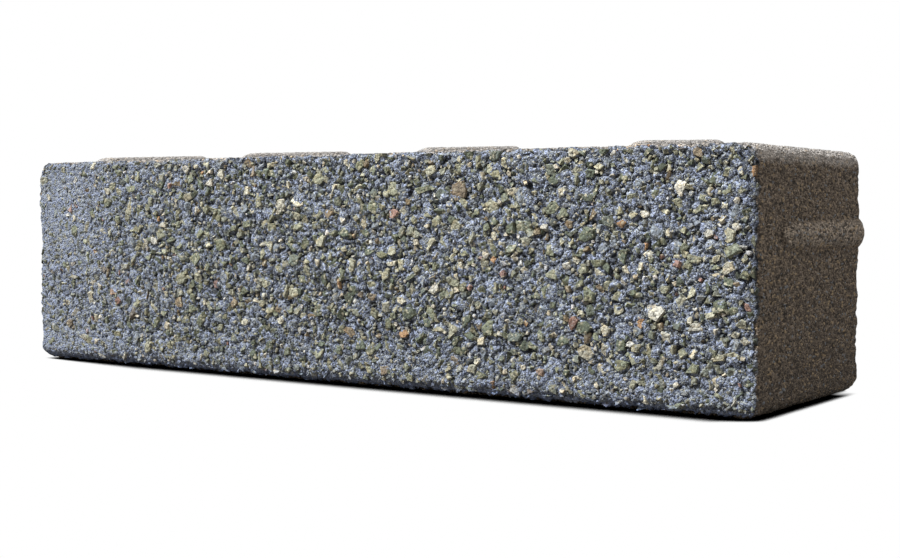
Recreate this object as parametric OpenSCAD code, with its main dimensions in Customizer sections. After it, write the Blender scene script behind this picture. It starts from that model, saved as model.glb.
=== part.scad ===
// Concrete paver, one vibropressed stone, in the row frame and in millimetres.
//
// The stone stands on one long side. X runs along its length, the face that is
// walked on looks to -Y, the bedding face to +Y, and Z is up. The origin is at
// the middle of the whole stone, on the floor. Spacer ribs stand out of the
// upper long side and of the +X end. They start behind the walked-on face and
// stand out further towards the bedding face, as the mould's draft leaves them.
// The walked-on face is washed or blasted, so its largest stones stand out of
// the cement, and its lower arris is rounded off.

/* [Body] */
// Length of the stone without its spacer ribs
body_length = 298; // [150:1:400]
// Width of the walked-on face without the ribs; it is upright here
body_width = 76; // [60:1:160]
// Thickness from the walked-on face to the bedding face
thickness = 80; // [60:1:120]
// Radius of the four corners of the walked-on face's outline
corner_radius = 5; // [1:0.5:12]

/* [Walked-on face] */
// Mean distance between the largest exposed stones
stone_spacing = 11; // [9:1:26]
// Mean width of the largest exposed stones along their longer way
stone_width = 5.4; // [3:0.2:6]
// How far the largest stones stand out of the cement
stone_relief = 0.8; // [0.3:0.1:1.4]
// Height of the rounding along the face's lower arris
arris_height = 5; // [2:0.5:7]
// Depth of that rounding where it meets the plain long side
arris_depth = 3.4; // [1:0.1:5]

/* [Spacer ribs on the long side] */
// Number of ribs
rib_count = 4; // [2:1:5]
// Distance from the +X end of the body to the middle of the first rib
rib_first = 49; // [15:1:60]
// Distance from the -X end of the body to the middle of the last rib
rib_last = 9; // [9:1:40]
// Width of a rib where it meets the bedding face
rib_width = 9.8; // [8:0.2:14]
// How far a rib stands out at the bedding face
rib_crest_back = 5.2; // [3:0.1:6]
// How far a rib stands out just behind its nose
rib_crest_front = 2.8; // [1:0.1:3]
// Distance from the walked-on face to the tip of the nose
rib_start = 20; // [8:1:30]
// Length of the sloping nose
rib_nose = 8; // [4:0.5:14]

/* [Spacer rib on the end] */
// Height of the rib's middle above the floor
end_rib_height = 50.4; // [20:0.2:56]
// Width of the rib where it meets the bedding face
end_rib_width = 9.2; // [6:0.2:14]
// How far the rib stands out at the bedding face
end_rib_crest_back = 2; // [1.5:0.1:3]
// How far the rib stands out just behind its nose
end_rib_crest_front = 1.6; // [0.6:0.1:2]
// Distance from the walked-on face to the tip of the nose
end_rib_start = 17; // [8:1:30]

/* [Hidden] */
$fn = 96;
concrete = [0.45, 0.44, 0.41];

full_length = body_length + end_rib_crest_back;
body_left = -full_length / 2;
body_right = body_left + body_length;
walked_y = -thickness / 2;
cement_y = walked_y + stone_relief;
bury = 3;
arris_radius = 1.16 * norm([arris_depth, arris_height]);
stones_left = 2;
stones_low = arris_height + 1;
stones_wide = body_length - 2 * stones_left;
stones_high = body_width - stones_left - stones_low;
stone_columns = floor(stones_wide / stone_spacing);
stone_rows = floor(stones_high / stone_spacing);
rib_pitch = (body_length - rib_first - rib_last) / (rib_count - 1);

// The outline of the walked-on face, with its corners rounded.
module face_outline() {
    r = corner_radius;
    translate([r, 0])
        square([body_length - 2 * r, body_width]);
    translate([0, r])
        square([body_length, body_width - 2 * r]);
    for (x = [r, body_length - r])
        for (z = [r, body_width - r])
            translate([x, z])
                circle(r = r);
}

// What the rounded lower arris takes away, as a section with the cement's plane
// at x = 0 and the floor at y = 0. The arc passes through both ends of the
// rounding and is flatter than a quarter of a circle.
module arris_section() {
    chord = norm([arris_depth, arris_height]);
    inwards = sqrt(arris_radius * arris_radius - chord * chord / 4);
    difference() {
        translate([-1, -1])
            square([arris_depth + 2, arris_height + 2]);
        translate([arris_depth / 2 + inwards * arris_height / chord,
                   arris_height / 2 + inwards * arris_depth / chord])
            circle(r = arris_radius);
    }
}

module body() {
    difference() {
        translate([body_left, -walked_y, 0])
            rotate([90, 0, 0])
                linear_extrude(height = thickness - stone_relief)
                    face_outline();
        translate([body_left - 1, cement_y, 0])
            rotate([90, 0, 90])
                linear_extrude(height = body_length + 2)
                    arris_section();
    }
}

// An uneven share from 0 to 1 for the stone and the trait that are asked for.
function uneven(stone, trait) =
    let (turned = 4375.85 * sin(37.3 * stone + 91.7 * trait)) turned - floor(turned);

// One crushed stone on the cement's plane, as a prism with six uneven corners.
// It is slimmer one way than the other, and turned at random.
module stone(i) {
    reach = stone_width / 2 * (0.7 + 0.6 * uneven(i, 3));
    slim = 0.6 + 0.4 * uneven(i, 4);
    turn = 180 * uneven(i, 5);
    lower = 0.15 * stone_relief * (i % 3);
    rotate([90, 0, 0])
        translate([0, 0, -1])
            linear_extrude(height = 1 + stone_relief - lower)
                polygon([for (k = [0 : 5])
                    let (angle = 60 * k + 24 * uneven(i, 10 + k),
                         far = reach * (0.82 + 0.36 * uneven(i, 20 + k)),
                         long = far * cos(angle),
                         short = slim * far * sin(angle))
                        [long * cos(turn) - short * sin(turn),
                         long * sin(turn) + short * cos(turn)]]);
}

// The largest stones of the face. Every second column lies half a row higher,
// and each stone strays a little from its place.
module exposed_stones() {
    step_x = stones_wide / stone_columns;
    step_z = stones_high / stone_rows;
    stray = 0.3;
    for (column = [0 : stone_columns - 1]) {
        shift = column % 2;
        for (row = [0 : stone_rows - 1 - shift]) {
            i = column * stone_rows + row;
            x = stones_left + step_x * (column + 0.5 + stray * (uneven(i, 1) - 0.5));
            z = stones_low + step_z * (row + 0.5 + 0.5 * shift + stray * (uneven(i, 2) - 0.5));
            translate([body_left + x, cement_y, z])
                stone(i);
        }
    }
}

// A round bar between two points of the plane x = 0, each given as [y, z].
module bar(from, to, r) {
    run = norm(to - from);
    slope = atan2(to[1] - from[1], to[0] - from[0]);
    translate([0, from[0], from[1]])
        rotate([slope - 90, 0, 0])
            cylinder(h = run, r = r);
}

// One spacer rib, on a side that is the plane z = 0. The walked-on face is at
// y = 0 and the bedding face at y = thickness. It is a round bar, mostly inside
// the stone and rising towards the bedding face, with its nose cut to a blunt
// slope and its other end cut flush with the bedding face.
module rib(width, crest_front, crest_back, start, nose) {
    r = (width * width / 4 + crest_back * crest_back) / (2 * crest_back);
    knee_y = start + nose;
    rise = (crest_back - crest_front) / (thickness - knee_y);
    past = 6;
    top = 2 * crest_back;
    intersection() {
        bar([start - past, crest_front - rise * (nose + past) - r],
            [thickness + past, crest_back + rise * past - r], r);
        translate([-width, 0, 0])
            rotate([90, 0, 90])
                linear_extrude(height = 2 * width)
                    polygon([
                        [start, -bury], [start, 0],
                        [start + 0.4 * nose, 0.62 * crest_front],
                        [knee_y, 1.05 * crest_front],
                        [knee_y, top], [thickness, top], [thickness, -bury]
                    ]);
    }
}

module long_side_ribs() {
    for (i = [0 : rib_count - 1])
        translate([body_right - rib_first - i * rib_pitch, walked_y, body_width])
            rib(rib_width, rib_crest_front, rib_crest_back, rib_start, rib_nose);
}

module end_rib() {
    translate([body_right, walked_y, end_rib_height])
        rotate([0, 90, 0])
            rib(end_rib_width, end_rib_crest_front, end_rib_crest_back, end_rib_start, rib_nose);
}

module paver() {
    color(concrete)
        union() {
            body();
            exposed_stones();
            long_side_ribs();
            end_rib();
        }
}

paver();
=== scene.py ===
"""A concrete paver: the looks of the stone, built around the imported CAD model.

The walked-on face shows crushed stone chips set in blue-grey cement. The other
sides are plain cast concrete, brown-grey and sandy, with the spacer ribs on the
upper long side and on the +X end. All relief goes inwards from the CAD faces.
Lengths are in metres; MM turns millimetres into metres.
"""
import math

import bmesh
import bpy
import numpy as np
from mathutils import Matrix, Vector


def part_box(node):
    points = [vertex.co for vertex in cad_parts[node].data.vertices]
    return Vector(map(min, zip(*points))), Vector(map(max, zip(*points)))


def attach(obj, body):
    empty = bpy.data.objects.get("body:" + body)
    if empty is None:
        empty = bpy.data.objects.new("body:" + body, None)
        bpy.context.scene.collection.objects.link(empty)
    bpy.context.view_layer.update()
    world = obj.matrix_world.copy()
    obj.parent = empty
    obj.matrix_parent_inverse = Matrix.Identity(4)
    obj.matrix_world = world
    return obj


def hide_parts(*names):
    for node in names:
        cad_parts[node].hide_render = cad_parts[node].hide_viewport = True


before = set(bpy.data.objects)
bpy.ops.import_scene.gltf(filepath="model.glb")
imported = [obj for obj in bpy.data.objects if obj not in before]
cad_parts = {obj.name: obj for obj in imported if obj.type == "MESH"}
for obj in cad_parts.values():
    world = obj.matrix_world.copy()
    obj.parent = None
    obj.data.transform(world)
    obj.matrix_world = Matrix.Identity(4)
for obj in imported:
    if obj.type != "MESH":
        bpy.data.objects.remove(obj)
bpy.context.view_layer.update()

MM = 0.001

# The stone's body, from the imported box. It stands on z = 0, and the spacer ribs
# stand out of it by these heights.
SIDE_RIB_CREST = 5.2 * MM
END_RIB_CREST = 2.0 * MM
BODY_LENGTH = 298 * MM
stone_low, stone_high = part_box("paver")
LEFT = stone_low.x
RIGHT = LEFT + BODY_LENGTH
TOP = stone_high.z - SIDE_RIB_CREST
FACE = stone_low.y
BACK = stone_high.y
LENGTH = RIGHT - LEFT
WIDTH = TOP
DEPTH = BACK - FACE
CORNER = 5 * MM
# The upper corner at the -X end is worn rounder than the mould made it
WORN_CORNER = 7.0 * MM

# Spacer ribs, as in the CAD source.
RIB_COUNT = 4
RIB_FIRST = 49 * MM
RIB_LAST = 9 * MM
RIB_PITCH = (LENGTH - RIB_FIRST - RIB_LAST) / (RIB_COUNT - 1)
RIB_NOSE = 8 * MM
SIDE_RIB = {"width": 9.8 * MM, "front": 2.8 * MM, "back": SIDE_RIB_CREST, "start": 20 * MM}
END_RIB = {"width": 9.2 * MM, "front": 1.6 * MM, "back": END_RIB_CREST, "start": 17 * MM}
END_RIB_HEIGHT = 50.4 * MM

# The walked-on face, as in the CAD source: its largest stones and its lower arris.
STONE_SPACING = 11 * MM
STONE_MARGIN = 2 * MM
STONE_ABOVE_ARRIS = 1 * MM
STONE_WIDTH = 5.4 * MM
STONE_RELIEF = 0.8 * MM
STONE_STRAY = 0.3
STONE_CORNERS = 6
ARRIS_HEIGHT = 5 * MM
ARRIS_DEPTH = 3.4 * MM

# Grid spacing of the cast faces and of the cement between the chips. The far
# pieces take every second point, and the sides' cells are longer along Y.
FINE_STEP = 0.49 * MM
COARSE_EVERY = 2
CELL_STRETCH = 1.5
# How much nearer together the sides' rows lie at both rims, from 0 to 1
RIM_CROWDING = 0.8
# Rings of cells over which a face follows the sides' wear at its border
RIM_RINGS = 4

# How far the sand grains of the cast sides lie inside the CAD faces, and the
# scale along Y that draws them out.
SAND_RECESS = 0.2 * MM
GRAIN_STRETCH = 0.55

# Fineness of a rib's grid, how far round its bar goes (degrees), and how deep its
# edges and its back end reach into the stone.
RIB_STEPS = 150
RIB_AROUND = 44
RIB_SWEEP = (-8, 188)
RIB_ROOT = -1.2 * MM
RIB_FOOT = -1.4 * MM
# The sides' grain on the ribs: its share, and how far it keeps inside the CAD
RIB_GRAIN = 0.7
RIB_CLEARANCE = 0.03 * MM
RIB_BACK_CLEARANCE = 0.1 * MM

# How far the chips' tops stay inside the CAD face at least
CHIP_CLEARANCE = 0.02 * MM
# The moat in the cement around the larger chips: its depth and width, and how far
# past a chip's edge it is looked for
MOAT_DEPTH = 0.7 * MM
MOAT_WIDTH = 0.3 * MM
MOAT_REACH = 0.8 * MM

SEED = 2026
BLOCKY_SHAPES = 80
SHARD_SHAPES = 80
SHARD_CORNERS = 8

# The loose chips of each class, from large to small: tries, smallest and largest
# radius, how close they lie (1 is side by side), and how much rarer they are where
# more cement covers them.
CHIP_CLASSES = [
    (2400, 1.5 * MM, 2.9 * MM, 0.68, 0.95),
    (8000, 0.75 * MM, 1.5 * MM, 0.64, 0.3),
    (22000, 0.36 * MM, 0.75 * MM, 0.7, 0.3),
]
# Above 1, a class has more chips near its smallest size
SMALL_BIAS = 1.7


# ---------------------------------------------------------------- random fields

# Large numbers that scramble the bits of a place and a seed
HASH_AXES = (73856093, 19349663, 83492791)
HASH_SEED = 2654435761
HASH_MIX = (2246822519, 3266489917)
ALL_BITS = 0xFFFFFFFF
HALF_RANGE = 0x7FFFFFFF


def scramble(cells, seed):
    """One value from -1 to 1 for each row of whole numbers, always the same."""
    x, y, z = (cells * HASH_AXES).T
    h = (x ^ y ^ z ^ (seed * HASH_SEED)) & ALL_BITS
    h = ((h ^ (h >> 15)) * HASH_MIX[0]) & ALL_BITS
    h = ((h ^ (h >> 13)) * HASH_MIX[1]) & ALL_BITS
    h = h ^ (h >> 16)
    return h / HALF_RANGE - 1.0


def noise(points, size, seed):
    """Smooth random values from -1 to 1, with lumps about size across."""
    scaled = points / size
    cells = np.floor(scaled).astype(np.int64)
    part = scaled - cells
    part = part * part * (3.0 - 2.0 * part)
    total = np.zeros(len(points))
    for corner in np.ndindex(2, 2, 2):
        weight = np.ones(len(points))
        for axis in range(3):
            weight *= part[:, axis] if corner[axis] else 1.0 - part[:, axis]
        total += weight * scramble(cells + np.array(corner), seed)
    return total


# ---------------------------------------------------------------- mesh helpers

def add_mesh(name, points, faces, material, smooth):
    mesh = bpy.data.meshes.new(name)
    mesh.from_pydata(points.tolist(), [], faces.tolist())
    mesh.materials.append(material)
    mesh.polygons.foreach_set("use_smooth", np.full(len(mesh.polygons), smooth))
    mesh.update()
    piece = bpy.data.objects.new(name, mesh)
    bpy.context.scene.collection.objects.link(piece)
    return piece


def grid_faces(rows, columns):
    """Quads of a grid whose points run along its columns first."""
    index = np.arange(rows * columns).reshape(rows, columns)
    here, right = index[:-1, :-1], index[:-1, 1:]
    above, above_right = index[1:, :-1], index[1:, 1:]
    return np.stack([here, right, above_right, above], axis=-1).reshape(-1, 4)


def grid_count(length):
    """Points along a length at the fine spacing, so that the coarse grid fits too."""
    return int(length / FINE_STEP) // COARSE_EVERY * COARSE_EVERY + 1


# ---------------------------------------------------------------- cast faces

def outline_edge(start_corner, end_corner, count):
    """One edge of the rounded outline, from the middle of one corner's arc to
    the middle of the next one's. Returns points (x, z) and outward normals."""
    # The centre of each corner's arc, its radius, and where its middle faces (degrees)
    corners = {
        "bottom_left": (LEFT + CORNER, CORNER, CORNER, 225),
        "bottom_right": (RIGHT - CORNER, CORNER, CORNER, 315),
        "top_right": (RIGHT - CORNER, TOP - CORNER, CORNER, 45),
        "top_left": (LEFT + WORN_CORNER, TOP - WORN_CORNER, WORN_CORNER, 135),
    }
    x0, z0, radius0, angle0 = corners[start_corner]
    x1, z1, radius1, _ = corners[end_corner]
    straight = math.hypot(x1 - x0, z1 - z0)
    arc0, arc1 = radius0 * math.pi / 4, radius1 * math.pi / 4
    along = np.linspace(0, straight + arc0 + arc1, count)
    turned = np.clip(along / arc0, 0, 1) + np.clip((along - arc0 - straight) / arc1, 0, 1)
    angle = np.radians(angle0 + 45 * turned)
    normal = np.stack([np.cos(angle), np.sin(angle)], axis=1)
    travelled = (np.clip(along - arc0, 0, straight) / straight)[:, None]
    centre = np.array([x0, z0]) + travelled * np.array([x1 - x0, z1 - z0])
    return centre + (radius0 + travelled * (radius1 - radius0)) * normal, normal


EDGES = {
    "bottom": outline_edge("bottom_left", "bottom_right", grid_count(LENGTH)),
    "end": outline_edge("bottom_right", "top_right", grid_count(WIDTH)),
    "top": outline_edge("top_right", "top_left", grid_count(LENGTH)),
    "far": outline_edge("top_left", "bottom_left", grid_count(WIDTH)),
}


def bites(points):
    """How much has broken off along the walked-on face's edges, from 0 to 2."""
    uneven_rim = 0.8 * noise(points, 2.8 * MM, 5) + 1.1 * noise(points, 1.2 * MM, 7)
    return np.clip(0.55 + 1.6 * uneven_rim, 0, 2)


def side_recess(points):
    """How far the cast sides lie inside the CAD faces, from grain and wear."""
    # The grain is drawn out along Y, the way the stone left its mould
    drawn = points * np.array([1.0, GRAIN_STRETCH, 1.0])
    grain = 0.6 + 1.0 * noise(drawn, 1.2 * MM, 1) + 0.7 * noise(drawn, 0.8 * MM, 2)
    pits = np.clip(noise(drawn, 1.7 * MM, 3) - 0.45, 0, 1) * 3.2
    waves = 0.25 * noise(points, 14 * MM, 4)
    near_face = np.clip(1 - (points[:, 1] - FACE) / (2.4 * MM), 0, 1)
    near_back = np.clip(1 - (BACK - points[:, 1]) / (1.6 * MM), 0, 1)
    worn = 4.2 * near_face ** 1.3 * bites(points)
    worn += 2.2 * near_back ** 1.5 * np.clip(0.7 + 1.2 * noise(points, 2.8 * MM, 6), 0, 2)
    return SAND_RECESS * (np.clip(grain + pits + waves, 0.02, 3.5) + worn)


def openness(points):
    """How openly the chips stand out of the cement: less at the -X end and low
    down, where more cement covers them."""
    along = (points[:, 0] - LEFT) / LENGTH
    low = np.clip(0.6 + points[:, 2] / (45 * MM), 0, 1)
    return np.clip(0.38 + 2.9 * along + 0.4 * noise(points, 26 * MM, 16), 0.28, 1.0) * low


def arris_depth(points):
    """The rounding of the walked-on face's lower arris."""
    return ARRIS_DEPTH * np.clip(1 - points[:, 2] / ARRIS_HEIGHT, 0, 1) ** 2


def border_distance(x, z):
    """How far places on the face are from the nearest side of the stone."""
    return np.minimum.reduce([x - LEFT, RIGHT - x, z, TOP - z])


def cement_depth(points):
    """How deep the cement between the chips lies below the CAD face."""
    bare = openness(points)
    lumps = 0.22 * noise(points, 3.6 * MM, 11) + 0.20 * noise(points, 2.0 * MM, 12)
    grain = (0.10 + 0.16 * bare) * noise(points, 1.1 * MM, 13)
    pits = np.clip(noise(points, 2.6 * MM, 14) - 0.5, 0, 1) * 1.8
    fine = (0.05 + 0.15 * bare) * noise(points, 0.8 * MM, 17)
    low = np.clip(1.6 - points[:, 2] / ARRIS_HEIGHT, 0, 1)
    fine += 0.35 * low * noise(points, 1.2 * MM, 18)
    level = 0.34 + 0.36 * bare + bare * (lumps + pits) + grain + fine
    at_border = np.clip(1 - border_distance(points[:, 0], points[:, 2]) / (1.4 * MM), 0, 1)
    chipped = at_border * (0.35 + 0.9 * noise(points, 2.6 * MM, 15))
    return MM * np.clip(level + chipped, 0.05, 2.4) + arris_depth(points)


def back_depth(points):
    """The bedding face: level but grainy, with open pits between lumps."""
    grain = 0.5 + 0.4 * noise(points, 1.2 * MM, 21) + 0.3 * noise(points, 2.6 * MM, 22)
    pits = np.clip(noise(points, 3.0 * MM, 23) - 0.4, 0, 1) * 3
    return SAND_RECESS * np.clip(grain + pits, 0.02, 5)


def with_y(flat, y):
    """Points (x, z) of an outline, put at depth y."""
    return np.stack([flat[:, 0], np.broadcast_to(y, len(flat)), flat[:, 1]], axis=1)


def inward(nominal, normal):
    """How the sides' recess moves points of the outline."""
    return -with_y(normal, 0.0) * side_recess(nominal)[:, None]


def rim(flat, normal, y, depth_at, sign):
    """The outline where a side meets the walked-on face or the bedding face."""
    nominal = with_y(flat, y)
    moved = nominal + inward(nominal, normal)
    moved[:, 1] += sign * depth_at(nominal)
    return moved


def joined_edges(names, which):
    """The points (0) or normals (1) of edges in a row, each shared one only once."""
    parts = [EDGES[name][which] for name in names]
    return np.concatenate([part[:-1] for part in parts] + [parts[-1][-1:]])


def side_strip(edge_names, every):
    """The cast side along these edges, from the walked-on to the bedding face."""
    flat = joined_edges(edge_names, 0)[::every]
    normal = joined_edges(edge_names, 1)[::every]
    steps = int(DEPTH / (FINE_STEP * CELL_STRETCH * every))
    front = rim(flat, normal, FACE, cement_depth, 1.0)
    back = rim(flat, normal, BACK, back_depth, -1.0)
    rows = []
    for t in np.linspace(0, 1, steps):
        # Nearer together towards both rims
        t = t - RIM_CROWDING * math.sin(2 * math.pi * t) / (2 * math.pi)
        nominal = with_y(flat, front[:, 1] + t * (back[:, 1] - front[:, 1]))
        rows.append(nominal + inward(nominal, normal))
    rows[0], rows[-1] = front, back
    return np.concatenate(rows), grid_faces(steps, len(flat))[:, ::-1]


def patch(depth_at, y, sign, every):
    """The walked-on or the bedding face: a grid fitted to the rounded outline."""
    bottom, bottom_normal = (part[::every] for part in EDGES["bottom"])
    end, end_normal = (part[::every] for part in EDGES["end"])
    top, top_normal = (part[::-1][::every] for part in EDGES["top"])
    far, far_normal = (part[::-1][::every] for part in EDGES["far"])
    rows, columns = len(far), len(bottom)
    across = np.linspace(0, 1, columns)[None, :, None]
    up = np.linspace(0, 1, rows)[:, None, None]
    # Each point lies between the four edges; the corners, counted twice, come off
    corners = (
        (1 - across) * (1 - up) * bottom[0] + across * (1 - up) * bottom[-1]
        + (1 - across) * up * top[0] + across * up * top[-1]
    )
    flat = (1 - up) * bottom + up * top + (1 - across) * far[:, None] + across * end[:, None]
    nominal = with_y((flat - corners).reshape(-1, 2), y)
    # The side's own recess pulls the border in, and fades within a few cells
    shift = np.zeros((rows, columns, 3))
    for ring in range(RIM_RINGS):
        fade = (1 - ring / RIM_RINGS) ** 2
        inner = slice(ring, -ring or None)
        shift[ring, inner] = fade * inward(with_y(bottom, y), bottom_normal)[inner]
        shift[rows - 1 - ring, inner] = fade * inward(with_y(top, y), top_normal)[inner]
        shift[inner, ring] = fade * inward(with_y(far, y), far_normal)[inner]
        shift[inner, columns - 1 - ring] = fade * inward(with_y(end, y), end_normal)[inner]
    moved = nominal + shift.reshape(-1, 3)
    moved[:, 1] += sign * depth_at(nominal)
    faces = grid_faces(rows, columns)
    return moved, faces if sign > 0 else faces[:, ::-1]


# ---------------------------------------------------------------- spacer ribs

def rib_points(spec):
    """One rib on the plane z = 0, with the walked-on face at y = 0: a round bar,
    mostly sunk, whose crest comes out of the stone in a blunt nose and rises."""
    start, front, back = spec["start"], spec["front"], spec["back"]
    radius = (spec["width"] ** 2 / 4 + back ** 2) / (2 * back)
    knee = start + RIB_NOSE
    y = np.linspace(start, DEPTH, RIB_STEPS)
    crest = front + (back - front) * (y - knee) / (DEPTH - knee)
    # The nose rises quickly and rounds over into the crest
    nose = np.clip((y - start) / RIB_NOSE, 0, 1)
    crest = np.where(y < knee, front * np.sin(nose * math.pi / 2) ** 0.8, crest)
    sweep = np.linspace(*np.radians(RIB_SWEEP), RIB_AROUND)
    x = np.tile(radius * np.cos(sweep), (RIB_STEPS, 1))
    z = (crest - radius)[:, None] + radius * np.sin(sweep)[None, :]
    # Below the side's plane the bar only needs to stay out of sight
    z = np.maximum(z, RIB_ROOT)
    points = np.stack([x, np.broadcast_to(y[:, None], x.shape), z], axis=-1)
    outward = np.stack([np.cos(sweep), np.zeros(RIB_AROUND), np.sin(sweep)], axis=-1)
    # The back end is closed by a flat face from the last ring down into the stone
    foot = points[-1].copy()
    foot[:, 2] = RIB_FOOT
    all_points = np.concatenate([points.reshape(-1, 3), points[-1], foot])
    all_outward = np.concatenate([np.tile(outward, (RIB_STEPS + 1, 1)), 0 * outward])
    cap = grid_faces(2, RIB_AROUND) + RIB_STEPS * RIB_AROUND
    return all_points, all_outward, np.concatenate([grid_faces(RIB_STEPS, RIB_AROUND), cap])


def upright(vectors):
    """A rib's own directions on the upper long side."""
    return vectors


def sideways(vectors):
    """A rib's own directions turned onto the +X end."""
    return np.stack([vectors[:, 2], vectors[:, 1], -vectors[:, 0]], axis=1)


def placed_rib(spec, turn, place):
    """Turns a rib into its place and gives it the sides' grain."""
    points, outward, faces = rib_points(spec)
    points, outward = turn(points) + np.array(place), turn(outward)
    recess = RIB_GRAIN * side_recess(points) + RIB_CLEARANCE
    points = points - outward * recess[:, None]
    points[:, 1] = np.minimum(points[:, 1], BACK - RIB_BACK_CLEARANCE)
    return points, faces


def all_ribs():
    ribs = [
        placed_rib(SIDE_RIB, upright, (RIGHT - RIB_FIRST - i * RIB_PITCH, FACE, TOP))
        for i in range(RIB_COUNT)
    ]
    ribs.append(placed_rib(END_RIB, sideways, (RIGHT, FACE, END_RIB_HEIGHT)))
    points, faces, used = [], [], 0
    for own_points, own_faces in ribs:
        points.append(own_points)
        faces.append(own_faces + used)
        used += len(own_points)
    return np.concatenate(points), np.concatenate(faces)[:, ::-1]


# ---------------------------------------------------------------- chips

# Rings of a chip's shape: height, with -1 outermost, and share of the widest ring.
MAIN_RINGS = [(0.5, 0.8), (-0.4, 1.0), (-0.75, 0.85)]
BLOCKY_RINGS = [(0.7, 0.85), (-0.2, 1.0), (-0.75, 0.86)]


def hull(corners):
    """The convex hull of some corners: its points and its triangles."""
    bm = bmesh.new()
    for point in corners:
        bm.verts.new(point)
    bmesh.ops.convex_hull(bm, input=bm.verts)
    loose = [v for v in bm.verts if not v.link_faces]
    bmesh.ops.delete(bm, geom=loose, context="VERTS")
    bmesh.ops.triangulate(bm, faces=bm.faces)
    bm.verts.index_update()
    points = np.array([v.co[:] for v in bm.verts])
    faces = np.array([[v.index for v in f.verts] for f in bm.faces])
    bm.free()
    return points, faces


def hull_of_rings(angle, radius, rings, slant, jitter, rng):
    """The hull of a few rings of corners, each ring slanting and a little uneven."""
    corners = []
    for height, share in rings:
        reach = radius * share * (1 + jitter * rng.uniform(-0.5, 0.5, len(angle)))
        x, z = reach * np.cos(angle), reach * np.sin(angle)
        y = height + slant[0] * x + slant[1] * z + jitter * rng.uniform(-1, 1, len(angle))
        corners.append(np.stack([x, y, z], axis=1))
    return hull(np.concatenate(corners))


def chip_shapes(count, rng):
    """Crushed-stone shapes about 2 across, with slanting tops and steep sides."""
    shapes = []
    for _ in range(count):
        corners = rng.integers(4, 7)
        angle = (np.arange(corners) + rng.uniform(-0.42, 0.42, corners)) * 2 * math.pi / corners
        radius = rng.uniform(0.6, 1.12, corners)
        slant = rng.uniform(-0.4, 0.4, 2)
        shapes.append(hull_of_rings(angle, radius, BLOCKY_RINGS, slant, 0.16, rng))
    return shapes


def shard_shapes(count, corners, rng):
    """Splinters about 2 across: hulls of a few corners in all directions."""
    shapes = []
    for _ in range(count):
        corner = rng.normal(size=(corners, 3))
        corner /= np.linalg.norm(corner, axis=1)[:, None]
        shapes.append(hull(corner * rng.uniform(0.75, 1.1, (corners, 1))))
    return shapes


class Spots:
    """Places on the walked-on face, kept apart by their own sizes."""

    # At least the widest gap between two chips
    CELL = 5 * MM

    def __init__(self):
        self.cells = {}

    def try_add(self, x, z, size, overlap):
        i, j = int(x // self.CELL), int(z // self.CELL)
        for di in (-1, 0, 1):
            for dj in (-1, 0, 1):
                for other_x, other_z, other in self.cells.get((i + di, j + dj), ()):
                    gap = (size + other) * overlap
                    if (x - other_x) ** 2 + (z - other_z) ** 2 < gap * gap:
                        return False
        self.cells.setdefault((i, j), []).append((x, z, size))
        return True


def scatter(spots, rng, tries, smallest, largest, overlap, thinning):
    """Random places for chips of one class, fewer where more cement covers them."""
    x, z = rng.uniform(LEFT, RIGHT, tries), rng.uniform(0, TOP, tries)
    size = smallest + (largest - smallest) * rng.uniform(size=tries) ** SMALL_BIAS
    bare = openness(np.stack([x, np.full(tries, FACE), z], axis=1))
    keep = rng.uniform(size=tries) > thinning * (1 - bare)
    return np.array([
        place for place in zip(x[keep], z[keep], size[keep]) if spots.try_add(*place, overlap)
    ])


def uneven(stone, trait):
    """An uneven share from 0 to 1, as the CAD source has it."""
    turned = 4375.85 * math.sin(math.radians(37.3 * stone + 91.7 * trait))
    return turned - math.floor(turned)


def main_stones(rng):
    """The largest stones, where the CAD source puts them: places (x, z, size), the
    depths of their tops and their shapes."""
    foot = ARRIS_HEIGHT + STONE_ABOVE_ARRIS
    wide, high = LENGTH - 2 * STONE_MARGIN, WIDTH - STONE_MARGIN - foot
    columns, rows = int(wide / STONE_SPACING), int(high / STONE_SPACING)
    places, tops, shapes = [], [], []
    for column in range(columns):
        shift = column % 2
        for row in range(rows - shift):
            i = column * rows + row
            across = column + 0.5 + STONE_STRAY * (uneven(i, 1) - 0.5)
            up = row + 0.5 + 0.5 * shift + STONE_STRAY * (uneven(i, 2) - 0.5)
            size = STONE_WIDTH / 2 * (0.7 + 0.6 * uneven(i, 3))
            x = LEFT + STONE_MARGIN + across * wide / columns
            places.append((x, foot + up * high / rows, size))
            tops.append(0.15 * STONE_RELIEF * (i % 3) + CHIP_CLEARANCE)
            corners = range(STONE_CORNERS)
            angle = np.radians([60 * k + 24 * uneven(i, 10 + k) for k in corners])
            radius = np.array([0.82 + 0.36 * uneven(i, 20 + k) for k in corners])
            # Some corners are broken off, and the top slants
            kept = np.sort(rng.permutation(STONE_CORNERS)[:rng.integers(4, 7)])
            slant = rng.uniform(-0.3, 0.3, 2)
            points, faces = hull_of_rings(angle[kept], radius[kept], MAIN_RINGS, slant, 0.1, rng)
            slim, turn = 0.6 + 0.4 * uneven(i, 4), math.pi * uneven(i, 5)
            long, short = points[:, 0].copy(), slim * points[:, 2]
            points[:, 0] = long * math.cos(turn) - short * math.sin(turn)
            points[:, 2] = long * math.sin(turn) + short * math.cos(turn)
            shapes.append((points, faces))
    return np.array(places), np.array(tops), shapes


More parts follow.
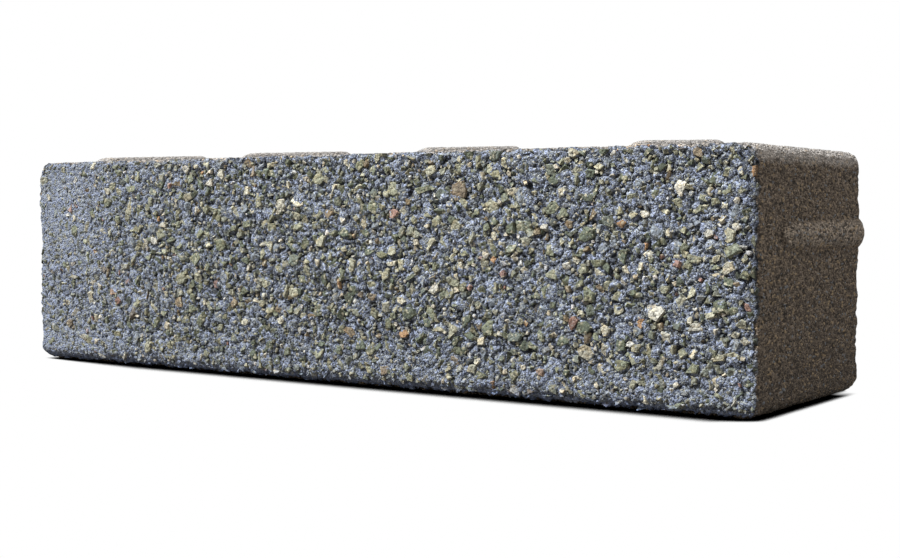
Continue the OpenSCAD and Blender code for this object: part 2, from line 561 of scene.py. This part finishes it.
# Colours of the chips as they look in daylight (sRGB), and how common each is.
CHIP_COLOURS = [
    ((0.57, 0.57, 0.49), 24),
    ((0.50, 0.515, 0.44), 26),
    ((0.40, 0.43, 0.37), 23),
    ((0.68, 0.67, 0.58), 16),
    ((0.79, 0.76, 0.68), 10),
    ((0.88, 0.87, 0.82), 5),
    ((0.53, 0.48, 0.39), 6),
    ((0.55, 0.58, 0.62), 10),
    ((0.43, 0.46, 0.52), 10),
    ((0.74, 0.58, 0.41), 0.9),
    ((0.62, 0.48, 0.43), 1.4),
    ((0.90, 0.90, 0.87), 2),
    ((0.31, 0.33, 0.29), 9),
]
LARGE_COLOURS = [
    ((0.585, 0.59, 0.505), 26),
    ((0.505, 0.525, 0.445), 25),
    ((0.40, 0.43, 0.37), 24),
    ((0.68, 0.675, 0.59), 17),
    ((0.78, 0.765, 0.69), 10),
    ((0.81, 0.80, 0.75), 4),
    ((0.53, 0.475, 0.39), 6),
    ((0.53, 0.565, 0.60), 8),
    ((0.72, 0.58, 0.44), 1.5),
    ((0.64, 0.52, 0.48), 2),
]
GRAIN_COLOURS = [
    ((0.57, 0.605, 0.665), 44),
    ((0.49, 0.525, 0.585), 26),
    ((0.65, 0.68, 0.72), 12),
    ((0.55, 0.55, 0.48), 22),
    ((0.71, 0.69, 0.61), 12),
    ((0.32, 0.34, 0.34), 10),
    ((0.76, 0.62, 0.46), 0.6),
    ((0.92, 0.92, 0.90), 1.0),
]
# How much darker or lighter one chip may be than its colour, and the palest that
# any chip is (linear)
CHIP_SHADES = (0.8, 1.22)
PALEST_CHIP = 0.72


def to_linear(rgb):
    rgb = np.asarray(rgb, dtype=float)
    return np.where(rgb <= 0.04045, rgb / 12.92, ((rgb + 0.055) / 1.055) ** 2.4)


def pick_colours(palette, count, rng):
    weights = np.array([weight for _, weight in palette], dtype=float)
    chosen = rng.choice(len(palette), size=count, p=weights / weights.sum())
    colours = to_linear([colour for colour, _ in palette])[chosen]
    return np.clip(colours * rng.uniform(*CHIP_SHADES, (count, 1)), 0, PALEST_CHIP)


def inside_outline(points, inset):
    """Presses points back into the rounded outline, as the mould's wall does."""
    middle = np.array([(LEFT + RIGHT) / 2, WIDTH / 2])
    half = np.array([LENGTH / 2, WIDTH / 2])
    flat = points[:, [0, 2]] - middle
    limit = half - inset[:, None]
    flat = np.clip(flat, -limit, limit)
    radius = np.where((flat[:, 0] < 0) & (flat[:, 1] > 0), WORN_CORNER, CORNER)
    core = half - radius[:, None]
    over = np.maximum(np.abs(flat) - core, 0)
    distance = np.linalg.norm(over, axis=1)
    reach = radius - inset
    scale = np.where(distance > reach, reach / np.maximum(distance, 1e-9), 1.0)
    in_corner = (over > 0).all(axis=1)
    pressed = np.sign(flat) * (np.minimum(np.abs(flat), core) + over * scale[:, None])
    flat = np.where(in_corner[:, None], pressed, flat) + middle
    points[:, 0], points[:, 2] = flat[:, 0], flat[:, 1]
    return points


def rotations(count, tilt, rng):
    """Random turns about the face's normal, after a lean of up to tilt."""
    spin = rng.uniform(0, 2 * math.pi, count)
    lean = rng.uniform(-tilt, tilt, (count, 2))
    cs, sn = np.cos(spin), np.sin(spin)
    ca, sa = np.cos(lean[:, 0]), np.sin(lean[:, 0])
    cb, sb = np.cos(lean[:, 1]), np.sin(lean[:, 1])
    zero, one = np.zeros(count), np.ones(count)
    about_y = np.array([[cs, zero, sn], [zero, one, zero], [-sn, zero, cs]])
    about_x = np.array([[one, zero, zero], [zero, ca, -sa], [zero, sa, ca]])
    about_z = np.array([[cb, -sb, zero], [sb, cb, zero], [zero, zero, one]])
    return np.einsum("ijn,jkn,kln->nil", about_x, about_z, about_y)


def on_face(x, z):
    return np.stack([x, np.full(len(x), FACE), z], axis=1)


def chips_of_sort(places, shapes, palette, rng, proud, tilt, clean):
    """Chips that each get a random shape, turn, colour and height. proud is the
    range, in chip sizes, of how far a chip stands out of the cement."""
    count = len(places)
    x, z, size = places.T
    at_face = on_face(x, z)
    turn = rotations(count, tilt, rng)
    stretch = np.stack([
        rng.uniform(0.95, 1.4, count),
        rng.uniform(0.5, 0.8, count),
        rng.uniform(0.78, 1.08, count),
    ], axis=1)
    stands = rng.uniform(*proud, count) * size * (0.15 + 0.85 * openness(at_face))
    tops = np.maximum(cement_depth(at_face) - stands, arris_depth(at_face) + CHIP_CLEARANCE)
    solids = []
    for i, which in enumerate(rng.integers(0, len(shapes), count)):
        shape, triangles = shapes[which]
        solids.append(((shape * stretch[i] * size[i]) @ turn[i].T, triangles))
    return joined_chips(places, tops, solids, palette, rng, clean)


def joined_chips(places, tops, solids, palette, rng, clean):
    """Puts chips in their places and joins them: points, faces and colours. clean
    is how free of cement they are, from 0 to 1."""
    count = len(places)
    at_face = on_face(places[:, 0], places[:, 1])
    # Cement clings to the chips, most where it covers more of them
    cover = rng.uniform(-0.35, 0.35, count) + 0.6 * (1 - openness(at_face)) - 0.2 * clean
    cover = np.clip(cover, 0, 0.9)[:, None]
    colours = pick_colours(palette, count, rng) * (1 - cover) + to_linear(CEMENT_COLOUR) * cover
    inset = 3.6 * SAND_RECESS * bites(at_face) + (0.02 + 0.6 * rng.uniform(size=count) ** 2) * MM
    points, faces, owners, used = [], [], [], 0
    for i, (local, triangles) in enumerate(solids):
        x, z, _ = places[i]
        points.append(local + np.array([x, FACE + tops[i] - local[:, 1].min(), z]))
        faces.append(triangles + used)
        owners.append(np.full(len(local), i))
        used += len(local)
    owners = np.concatenate(owners)
    points = inside_outline(np.concatenate(points), inset[owners])
    return points, np.concatenate(faces), colours[owners]


def chip_piece(name, parts, material):
    """One mesh of one or more lots of chips, with each chip's colour on its points."""
    points = np.concatenate([p for p, _, _ in parts])
    starts = np.cumsum([0] + [len(p) for p, _, _ in parts[:-1]])
    faces = np.concatenate([f + start for (_, f, _), start in zip(parts, starts)])
    colours = np.concatenate([c for _, _, c in parts])
    piece = add_mesh(name, points, faces, material, smooth=False)
    layer = piece.data.color_attributes.new("chip_colour", "FLOAT_COLOR", "POINT")
    rgba = np.concatenate([colours, np.ones((len(colours), 1))], axis=1)
    layer.data.foreach_set("color", rgba.ravel())
    return piece


def dig_around(points, places):
    """Lowers the cement grid in a narrow moat around the chips at these places."""
    moats = np.zeros(len(points))
    across, up = points[:, 0], points[:, 2]
    order = np.argsort(across)
    sorted_x = across[order]
    for x, z, size in places:
        reach = size + MOAT_REACH
        near = order[np.searchsorted(sorted_x, x - reach):np.searchsorted(sorted_x, x + reach)]
        near = near[np.abs(up[near] - z) < reach]
        away = np.hypot(across[near] - x, up[near] - z)
        moats[near] = np.maximum(moats[near], np.exp(-((away - size) / MOAT_WIDTH) ** 2))
    fade = np.clip((border_distance(across, up) - 0.8 * MM) / (1.5 * MM), 0, 1)
    points[:, 1] += MOAT_DEPTH * moats * openness(points) * fade
    return points


# ---------------------------------------------------------------- materials

# Colours as they look in daylight (sRGB): first the face's cement and sand
CEMENT_COLOUR = (0.59, 0.62, 0.67)
BLUE_SAND = (0.575, 0.615, 0.71)
OLIVE_SAND = (0.635, 0.65, 0.63)
DARK_SAND = (0.20, 0.21, 0.23)
# Painted bluish shade for the lower arris
ARRIS_SHADE = (0.48, 0.55, 0.71)
# What speckles and stains the chips
RUST_TINT = (0.98, 0.90, 0.78)
LIGHT_MINERAL = (0.82, 0.79, 0.68)
DARK_MINERAL = (0.24, 0.23, 0.19)
# The cast sides, their dust, their worn places (partly painted highlight) and their single grains
CAST_DARK = (0.50, 0.45, 0.40)
CAST_LIGHT = (0.54, 0.495, 0.445)
CAST_DUST = (0.645, 0.625, 0.60)
WEAR_HIGHLIGHT_LOW = (0.80, 0.775, 0.75)
WEAR_HIGHLIGHT_HIGH = (0.67, 0.655, 0.64)
END_RIB_WEAR_HIGHLIGHT = (0.71, 0.665, 0.615)
TAN_GRAIN = (0.83, 0.74, 0.61)
PALE_GRAIN = (0.64, 0.67, 0.71)
PIT_COLOUR = (0.12, 0.10, 0.08)
WHITE = (1.0, 1.0, 1.0)

# Where a Mix node has its factor and its two colours, and its mixed colour
MIX_INPUTS = (0, 6, 7)
MIX_OUTPUT = 2


class Nodes:
    """A short way to write the node tree of a material or of the world."""

    def __init__(self, owner, output, space="Object"):
        self.owner = owner
        owner.use_nodes = True
        self.tree = owner.node_tree
        self.tree.nodes.clear()
        self.out = self.add(output)
        self.place = self.add("ShaderNodeTexCoord").outputs[space]
        axes = self.add("ShaderNodeSeparateXYZ")
        self.link(self.place, axes.inputs[0])
        self.x, self.y, self.z = axes.outputs

    def stretch_grain(self, scale):
        """Draws the textures out along an axis where its scale is below 1."""
        node = self.add("ShaderNodeVectorMath", operation="MULTIPLY")
        self.link(self.place, node.inputs[0])
        node.inputs[1].default_value = scale
        self.place = node.outputs[0]

    def add(self, kind, **settings):
        node = self.tree.nodes.new(kind)
        for key, value in settings.items():
            setattr(node, key, value)
        return node

    def link(self, source, target):
        self.tree.links.new(source, target)

    def put(self, value, socket):
        """Links another node's output, or sets a number or a colour."""
        if isinstance(value, bpy.types.NodeSocket):
            self.link(value, socket)
        elif isinstance(value, (int, float)):
            socket.default_value = value
        else:
            socket.default_value = (*to_linear(value), 1.0)

    def noise(self, size, detail=2.0, rough=0.5):
        """Noise from 0 to 1 with lumps about size across."""
        node = self.add("ShaderNodeTexNoise")
        self.link(self.place, node.inputs["Vector"])
        node.inputs["Scale"].default_value = 1.0 / size
        node.inputs["Detail"].default_value = detail
        node.inputs["Roughness"].default_value = rough
        return node.outputs["Fac"]

    def cells(self, size):
        """Two random greys for each cell about size across, and its dome."""
        node = self.add("ShaderNodeTexVoronoi")
        self.link(self.place, node.inputs["Vector"])
        node.inputs["Scale"].default_value = 1.0 / size
        pick = self.add("ShaderNodeSeparateColor")
        self.link(node.outputs["Color"], pick.inputs["Color"])
        dome = self.math("SUBTRACT", 1.0, node.outputs["Distance"])
        return pick.outputs["Red"], pick.outputs["Green"], dome

    def ramp(self, source, stops):
        """Maps 0 to 1 onto greys; stops are (position, grey)."""
        node = self.add("ShaderNodeValToRGB")
        self.link(source, node.inputs["Fac"])
        elements = node.color_ramp.elements
        while len(elements) < len(stops):
            elements.new(0.5)
        for element, (position, grey) in zip(elements, stops):
            element.position = position
            element.color = (grey, grey, grey, 1.0)
        return node.outputs["Color"]

    def spread(self, source, low, high, from_low=0.36, from_high=0.64):
        """Maps a range of the source, or else the middle of a noise, to low..high."""
        node = self.add("ShaderNodeMapRange")
        self.link(source, node.inputs["Value"])
        node.inputs["From Min"].default_value = from_low
        node.inputs["From Max"].default_value = from_high
        node.inputs["To Min"].default_value = low
        node.inputs["To Max"].default_value = high
        return node.outputs["Result"]

    def mix(self, factor, first, second, blend="MIX"):
        node = self.add("ShaderNodeMix", data_type="RGBA", blend_type=blend)
        for index, value in zip(MIX_INPUTS, (factor, first, second)):
            self.put(value, node.inputs[index])
        return node.outputs[MIX_OUTPUT]

    def times(self, colour, factor):
        """A colour made darker or lighter by a grey, or tinted by another colour."""
        return self.mix(1.0, colour, factor, "MULTIPLY")

    def math(self, operation, *values):
        node = self.add("ShaderNodeMath", operation=operation)
        for socket, value in zip(node.inputs, values):
            self.put(value, socket)
        return node.outputs[0]

    def wander(self, size, span, detail=2.0, rough=0.5):
        """Uneven lengths from -span/2 to span/2, which make a border ragged."""
        return self.math("MULTIPLY_ADD", self.noise(size, detail, rough), span, -span / 2)

    def seen(self):
        """1 for rays of the camera, and through gloss and glass; 0 for the light
        that falls on the stone."""
        rays = self.add("ShaderNodeLightPath").outputs
        seen = self.math("MAXIMUM", rays["Is Camera Ray"], rays["Is Glossy Ray"])
        return self.math("MAXIMUM", seen, rays["Is Transmission Ray"])

    def finish_two(self, factor, first, second):
        """Ends the tree with a mix of two shaders."""
        node = self.add("ShaderNodeMixShader")
        for socket, source in zip(node.inputs, (factor, first.outputs[0], second.outputs[0])):
            self.link(source, socket)
        self.link(node.outputs[0], self.out.inputs["Surface"])

    def surface(self, colour, heights, roughness=0.9, specular=0.3):
        """A rough stone surface. heights are (height source, depth in metres)."""
        shader = self.add("ShaderNodeBsdfPrincipled")
        shader.inputs["Roughness"].default_value = roughness
        shader.inputs["Specular IOR Level"].default_value = specular
        self.link(colour, shader.inputs["Base Color"])
        normal = None
        for source, depth in heights:
            bump = self.add("ShaderNodeBump")
            bump.inputs["Distance"].default_value = depth
            self.link(source, bump.inputs["Height"])
            if normal:
                self.link(normal, bump.inputs["Normal"])
            normal = bump.outputs["Normal"]
        self.link(normal, shader.inputs["Normal"])
        self.link(shader.outputs[0], self.out.inputs["Surface"])
        return self.owner


def material_nodes(name):
    return Nodes(bpy.data.materials.new(name), "ShaderNodeOutputMaterial")


def cast_concrete():
    """The plain sides: brown-grey sand and cement with dark pits and specks."""
    n = material_nodes("cast_concrete")
    n.stretch_grain((1.0, GRAIN_STRETCH, 1.0))
    colour = n.mix(n.noise(24 * MM), CAST_DARK, CAST_LIGHT)
    # Dusty on the upper side
    dusty = n.spread(n.z, 0.0, 0.8, TOP - 1.4 * MM, TOP - 0.4 * MM)
    colour = n.mix(dusty, colour, CAST_DUST)
    # Paler where the ends' upper arrises and the crests of the ribs have been rubbed, and painted
    # highlight there too, where these roundings turn up to the light
    wander = n.wander(1.3 * MM, 6.0 * MM, 3, 0.6)
    height = n.math("ADD", wander, n.z)
    across = n.math("ADD", wander, n.x)
    left_end = n.spread(across, 1.0, 0.0, LEFT + 4.0 * MM, LEFT + 12.0 * MM)
    right_end = n.spread(across, 0.0, 1.0, RIGHT - 12.0 * MM, RIGHT - 4.0 * MM)
    arris = n.spread(height, 0.0, 1.0, TOP - 5.8 * MM, TOP - 3.2 * MM)
    arris = n.math("MULTIPLY", arris, n.math("MAXIMUM", left_end, right_end))
    crests = n.spread(height, 0.0, 1.0, TOP + 0.2 * MM, TOP + 1.8 * MM)
    wear_and_highlight = n.math("MAXIMUM", arris, crests)
    # Painted highlight: paler low on the rounding, where less sun reaches, than at its top
    worn = n.mix(n.spread(n.z, 0.0, 1.0, TOP - 4.5 * MM, TOP), WEAR_HIGHLIGHT_LOW, WEAR_HIGHLIGHT_HIGH)
    colour = n.mix(wear_and_highlight, colour, worn)
    # Painted highlight, with some wear: the end rib paler where it stands out of the +X end
    end_crest = n.spread(n.x, 0.0, 0.8, RIGHT + 0.1 * MM, RIGHT + 0.9 * MM)
    colour = n.mix(end_crest, colour, END_RIB_WEAR_HIGHLIGHT)
    # Painted shade: darker towards the foot
    colour = n.times(colour, n.spread(n.z, 0.80, 1.0, 4 * MM, 46 * MM))
    # Sand grains, a few of them tan or pale, and dark pits between them
    shade, kind, dome = n.cells(0.6 * MM)
    colour = n.times(colour, n.spread(shade, 0.25, 1.7, 0.0, 1.0))
    colour = n.times(colour, n.spread(n.noise(0.36 * MM, 2, 0.6), 0.35, 1.7))
    colour = n.mix(n.spread(kind, 0.0, 0.8, 0.93, 0.94), colour, TAN_GRAIN)
    colour = n.mix(n.spread(kind, 0.7, 0.0, 0.03, 0.04), colour, PALE_GRAIN)
    pits = n.spread(n.noise(1.2 * MM, 3, 0.6), 0.9, 0.0, 0.36, 0.42)
    colour = n.mix(pits, colour, PIT_COLOUR)
    # The facing mix shows as a thin, uneven blue-grey edge next to the face
    edge = n.math("ADD", n.y, n.wander(2.2 * MM, 3.2 * MM))
    facing = n.spread(edge, 1.0, 0.0, FACE + 0.6 * MM, FACE + 1.6 * MM)
    paste = n.times(CEMENT_COLOUR, n.spread(shade, 0.2, 1.05, 0.0, 1.0))
    colour = n.mix(facing, colour, paste)
    # Where rubbed and painted paler, the grain is also evened out
    colour = n.mix(n.math("MULTIPLY", wear_and_highlight, 0.45), colour, worn)
    heights = [
        (dome, 0.4 * MM),
        (n.noise(0.6 * MM, 2, 0.6), 0.4 * MM),
        (n.noise(1.5 * MM), 0.6 * MM),
    ]
    return n.surface(colour, heights, roughness=0.92)


def below_face(n):
    """How deep a point lies below the walked-on face, its rounded arris included."""
    low = n.math("SUBTRACT", 1.0, n.math("DIVIDE", n.z, ARRIS_HEIGHT))
    low = n.math("MAXIMUM", low, 0.0)
    rounding = n.math("MULTIPLY", n.math("MULTIPLY", low, low), ARRIS_DEPTH)
    return n.math("SUBTRACT", n.math("SUBTRACT", n.y, FACE), rounding)


def painted_shade(n, colour):
    """Painted shade: darker deep in the gaps between the chips and along the +X end, and a
    painted bluish shade on the lower arris. Darker towards the foot, a little lighter high up."""
    # Painted shade deep in the gaps between the chips
    colour = n.times(colour, n.spread(below_face(n), 1.03, 0.15, 0.86 * MM, 1.55 * MM))
    # Darker towards the foot, a little lighter high up
    colour = n.times(colour, n.spread(n.z, 0.90, 1.08, 8 * MM, 62 * MM))
    # Painted shade along the +X end, for the shadowed hollows of its broken edge: strongest high
    # up and on the arris itself
    wander = n.wander(1.4 * MM, 2.4 * MM)
    along = n.math("ADD", wander, n.x)
    edge_shade = n.spread(along, 0.0, 1.0, RIGHT - 7.0 * MM, RIGHT - 3.0 * MM)
    edge_shade = n.math("MULTIPLY", edge_shade, n.spread(n.z, 0.08, 0.36, 18 * MM, 50 * MM))
    edge_shade = n.math("ADD", edge_shade, n.spread(along, 0.0, 0.40, RIGHT - 1.8 * MM, RIGHT - 0.4 * MM))
    colour = n.times(colour, n.math("SUBTRACT", 1.0, edge_shade))
    # Painted bluish shade on the lower arris, which faces down, away from the sun; with grain
    arris = n.spread(n.math("ADD", wander, n.z), 0.7, 0.0, 0.6 * MM, 3.0 * MM)
    grain = n.spread(n.noise(1.0 * MM, 3, 0.7), 0.0, 2.2)
    return n.mix(arris, colour, n.times(ARRIS_SHADE, grain))


def cement():
    """The blue-grey cement paste between the chips, full of fine sand."""
    n = material_nodes("face_cement")
    shade, kind, dome = n.cells(0.62 * MM)
    colour = n.mix(n.spread(kind, 0.0, 1.0, 0.4, 1.0), BLUE_SAND, OLIVE_SAND)
    # Even cement at the covered end, more sand towards the open one
    rough = n.spread(n.x, 0.4, 1.0, LEFT, LEFT + 130 * MM)
    for grain in (n.spread(shade, -0.5, 0.5, 0.0, 1.0),
                  n.spread(n.noise(0.4 * MM, 2, 0.6), -0.5, 0.55)):
        colour = n.times(colour, n.math("MULTIPLY_ADD", grain, rough, 1.0))
    colour = n.mix(n.spread(kind, 0.8, 0.0, 0.08, 0.10), colour, DARK_SAND)
    # Paler low down at the covered end
    pale = n.spread(n.x, 0.16, 0.0, LEFT + 20 * MM, LEFT + 130 * MM)
    pale = n.math("MULTIPLY", pale, n.spread(n.z, 1.0, 0.0, 20 * MM, 50 * MM))
    colour = n.times(colour, n.math("ADD", 1.0, pale))
    colour = painted_shade(n, colour)
    heights = [
        (dome, 0.4 * MM),
        (n.noise(0.4 * MM, 2, 0.6), 0.3 * MM),
        (n.noise(1.2 * MM), 0.5 * MM),
    ]
    return n.surface(colour, heights)


def chip_stone(name, dusty):
    """Crushed stone in each chip's own colour, speckled with its minerals and
    with cement left on it. dusty is how much the cement covers, from 0 to 1."""
    n = material_nodes(name)
    colour = n.add("ShaderNodeAttribute", attribute_name="chip_colour").outputs["Color"]
    shade, kind, dome = n.cells(0.8 * MM)
    colour = n.times(colour, n.spread(shade, 0.75, 1.25, 0.0, 1.0))
    stain = n.spread(n.noise(1.7 * MM), 0.0, 0.55, 0.50, 0.62)
    colour = n.mix(stain, colour, n.times(colour, RUST_TINT))
    colour = n.mix(n.spread(kind, 0.0, 0.6, 0.88, 0.91), colour, LIGHT_MINERAL)
    colour = n.mix(n.spread(kind, 0.7, 0.0, 0.08, 0.11), colour, DARK_MINERAL)
    colour = n.times(colour, n.spread(n.noise(0.5 * MM, 3, 0.7), 0.68, 1.38))
    # Cement covers a chip's lower flanks, and patches of its top
    start, full = 0.68 - 0.2 * dusty, 0.76 - 0.2 * dusty
    patches = n.spread(n.noise(1.2 * MM, 3, 0.65), 0.0, 0.85, start, full)
    depth = n.math("ADD", below_face(n), n.wander(0.9 * MM, 1.2 * MM))
    flanks = n.spread(depth, 0.0, 0.8, 1.1 * MM, 1.7 * MM)
    paste = n.mix(n.spread(shade, 0.0, 1.0, 0.0, 1.0), BLUE_SAND, OLIVE_SAND)
    paste = n.times(paste, n.spread(n.noise(0.4 * MM, 2, 0.6), 0.4, 1.6))
    colour = n.mix(n.math("MAXIMUM", patches, flanks), colour, paste)
    colour = painted_shade(n, colour)
    heights = [
        (dome, 0.25 * MM),
        (n.noise(0.45 * MM, 3, 0.7), 0.25 * MM),
        (n.noise(1.3 * MM), 0.45 * MM),
    ]
    return n.surface(colour, heights, roughness=0.75, specular=0.4)


# How far the shadow on the floor reaches: at its widest, and at the stone's back,
# -X end and +X end; and the greys it goes through as the sky opens up.
SHADOW_WIDEST = 11 * MM
SHADOW_BACK = 4 * MM
SHADOW_LEFT = 2 * MM
SHADOW_RIGHT = 5 * MM
SHADOW_GREYS = [(0.62, 0.0), (0.72, 0.06), (0.82, 0.45), (0.95, 1.0)]
GROUND_COLOUR = (0.12, 0.11, 0.10, 1.0)


def floor_material():
    """White to the camera, and darker close to the stone where less light gets in.
    To the stone itself it is a dark ground that throws little light up."""
    n = material_nodes("floor")
    # The shadow is widest under the near arris and narrows towards the back
    back = n.spread(n.y, SHADOW_WIDEST, SHADOW_BACK, FACE - 4 * MM, BACK)
    left = n.spread(n.x, SHADOW_LEFT, SHADOW_WIDEST, LEFT - 4 * MM, LEFT + 60 * MM)
    right = n.spread(n.x, SHADOW_WIDEST, SHADOW_RIGHT, RIGHT - 12 * MM, RIGHT)
    open_sky = n.add("ShaderNodeAmbientOcclusion", samples=16, only_local=False)
    reach = n.math("MINIMUM", n.math("MINIMUM", back, left), right)
    n.link(reach, open_sky.inputs["Distance"])
    # More light gets in under the ends' rounded arrises, and most at their outer corners
    under_end = n.spread(n.x, 0.0, 0.16, RIGHT - 10 * MM, RIGHT - 3 * MM)
    shade = n.ramp(n.math("ADD", open_sky.outputs["AO"], under_end), SHADOW_GREYS)
    past_right = n.spread(n.x, 0.0, 1.0, RIGHT - 5 * MM, RIGHT - 3 * MM)
    at_back = n.spread(n.y, 0.0, 1.0, BACK - 12 * MM, BACK - 2 * MM)
    past_left = n.spread(n.x, 1.0, 0.0, LEFT + 2 * MM, LEFT + 6 * MM)
    at_front = n.spread(n.y, 1.0, 0.0, FACE + 4 * MM, FACE + 14 * MM)
    right_corner = n.math("MULTIPLY", past_right, at_back)
    left_corner = n.math("MULTIPLY", past_left, at_front)
    shade = n.mix(n.math("MAXIMUM", right_corner, left_corner), shade, WHITE)
    plain = n.add("ShaderNodeEmission")
    n.link(shade, plain.inputs["Color"])
    ground = n.add("ShaderNodeBsdfDiffuse")
    ground.inputs["Color"].default_value = GROUND_COLOUR
    n.finish_two(n.seen(), ground, plain)
    return n.owner


# ---------------------------------------------------------------- the stone

def build_stone():
    cast = cast_concrete()
    ribbed = side_strip(["end", "top"], every=1)
    near_sides = add_mesh("cast_sides_ribbed", *ribbed, cast, smooth=True)
    plain = side_strip(["far", "bottom"], every=COARSE_EVERY)
    far_sides = add_mesh("cast_sides_plain", *plain, cast, smooth=True)
    back = patch(back_depth, BACK, sign=-1.0, every=COARSE_EVERY)
    bedding = add_mesh("bedding_face", *back, cast, smooth=True)
    ribs = add_mesh("spacer_ribs", *all_ribs(), cast, smooth=True)

    rng = np.random.default_rng(SEED)
    blocky = chip_shapes(BLOCKY_SHAPES, rng)
    shards = shard_shapes(SHARD_SHAPES, SHARD_CORNERS, rng)
    stone = chip_stone("chip_stone", dusty=0.3)
    dusty = chip_stone("grain_stone", dusty=0.7)
    places, tops, shapes = main_stones(rng)
    spots = Spots()
    for x, z, size in places:
        spots.try_add(x, z, size, overlap=0.0)
    solids = [(shape * size, faces) for (shape, faces), (_, _, size) in zip(shapes, places)]
    main = joined_chips(places, tops, solids, LARGE_COLOURS, rng, clean=1.0)
    large, medium, small = [scatter(spots, rng, *chip_class) for chip_class in CHIP_CLASSES]
    loose = [
        chips_of_sort(large, blocky, LARGE_COLOURS, rng, proud=(0.15, 0.5), tilt=0.4, clean=0.7),
        chips_of_sort(medium, blocky, CHIP_COLOURS, rng, proud=(0.05, 0.55), tilt=0.6, clean=0.0),
        chips_of_sort(small, shards, GRAIN_COLOURS, rng, proud=(-0.3, 0.6), tilt=1.4, clean=0.0),
    ]
    chip_pieces = [
        chip_piece("chips_large", [main, loose[0]], stone),
        chip_piece("chips_medium", [loose[1]], stone),
        chip_piece("chips_small", [loose[2]], dusty),
    ]
    points, faces = patch(cement_depth, FACE, sign=1.0, every=1)
    points = dig_around(points, np.concatenate([places, large, medium]))
    paste = add_mesh("face_cement", points, faces, cement(), smooth=True)
    return [near_sides, far_sides, bedding, ribs, paste] + chip_pieces


stone_pieces = build_stone()
for piece in stone_pieces:
    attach(piece, "root")
    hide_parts("paver")


# ---------------------------------------------------------------- stage, light, camera

FLOOR_HALF = 6.0

# Strength of the sky at the horizon and overhead, and its colour.
SKY_LEVEL = (0.10, 0.66)
SKY_COLOUR = (1.0, 0.96, 0.92, 1.0)

SUN_STRENGTH = 4.6
SUN_WIDTH = math.radians(6)
SUN_COLOUR = (0.98, 0.99, 1.0)
TOWARDS_SUN = (-0.40, -0.52, 0.755)

# The camera: sensor and lens in millimetres, its place from the upright edge at the
# face's -X end, how far it looks down, and how far it is turned (degrees).
SENSOR_WIDTH = 36.0
FOCAL_LENGTH = 56.65
CAMERA_ALONG = 450.9 * MM
CAMERA_AWAY = 358.6 * MM
CAMERA_HEIGHT = 57.0 * MM
CAMERA_DOWN = 2.715
CAMERA_TURN = 35.33


def add_floor():
    corners = np.array([(-1, -1, 0), (1, -1, 0), (1, 1, 0), (-1, 1, 0)]) * FLOOR_HALF
    floor = add_mesh("floor", corners, np.array([[0, 1, 2, 3]]), floor_material(), smooth=False)


def add_world():
    """A soft sky, brighter overhead. The camera, gloss and glass see plain white."""
    world = bpy.data.worlds.new("daylight")
    bpy.context.scene.world = world
    n = Nodes(world, "ShaderNodeOutputWorld", "Generated")
    sky = n.add("ShaderNodeBackground")
    sky.inputs["Color"].default_value = SKY_COLOUR
    n.link(n.spread(n.z, *SKY_LEVEL, 0.0, 1.0), sky.inputs["Strength"])
    white = n.add("ShaderNodeBackground")
    white.inputs["Color"].default_value = (*WHITE, 1.0)
    n.finish_two(n.seen(), sky, white)


def add_sun():
    """Daylight from the upper left in front of the stone."""
    lamp = bpy.data.lights.new("sun", "SUN")
    lamp.energy = SUN_STRENGTH
    lamp.angle = SUN_WIDTH
    lamp.color = SUN_COLOUR
    sun = bpy.data.objects.new("sun", lamp)
    sunbeam = -Vector(TOWARDS_SUN)
    sun.rotation_euler = sunbeam.to_track_quat("-Z", "Y").to_euler()
    bpy.context.scene.collection.objects.link(sun)


def add_camera():
    """Low, in front of the +X end, at the photograph's angle."""
    data = bpy.data.cameras.new("camera")
    data.sensor_width = SENSOR_WIDTH
    data.lens = FOCAL_LENGTH
    data.clip_start = 0.01
    camera = bpy.data.objects.new("camera", data)
    camera.location = (LEFT + CAMERA_ALONG, FACE - CAMERA_AWAY, CAMERA_HEIGHT)
    camera.rotation_euler = (math.radians(90 - CAMERA_DOWN), 0.0, math.radians(CAMERA_TURN))
    bpy.context.scene.collection.objects.link(camera)
    bpy.context.scene.camera = camera


add_floor()
add_world()
add_sun()
add_camera()
bpy.context.scene.view_settings.view_transform = "Standard"
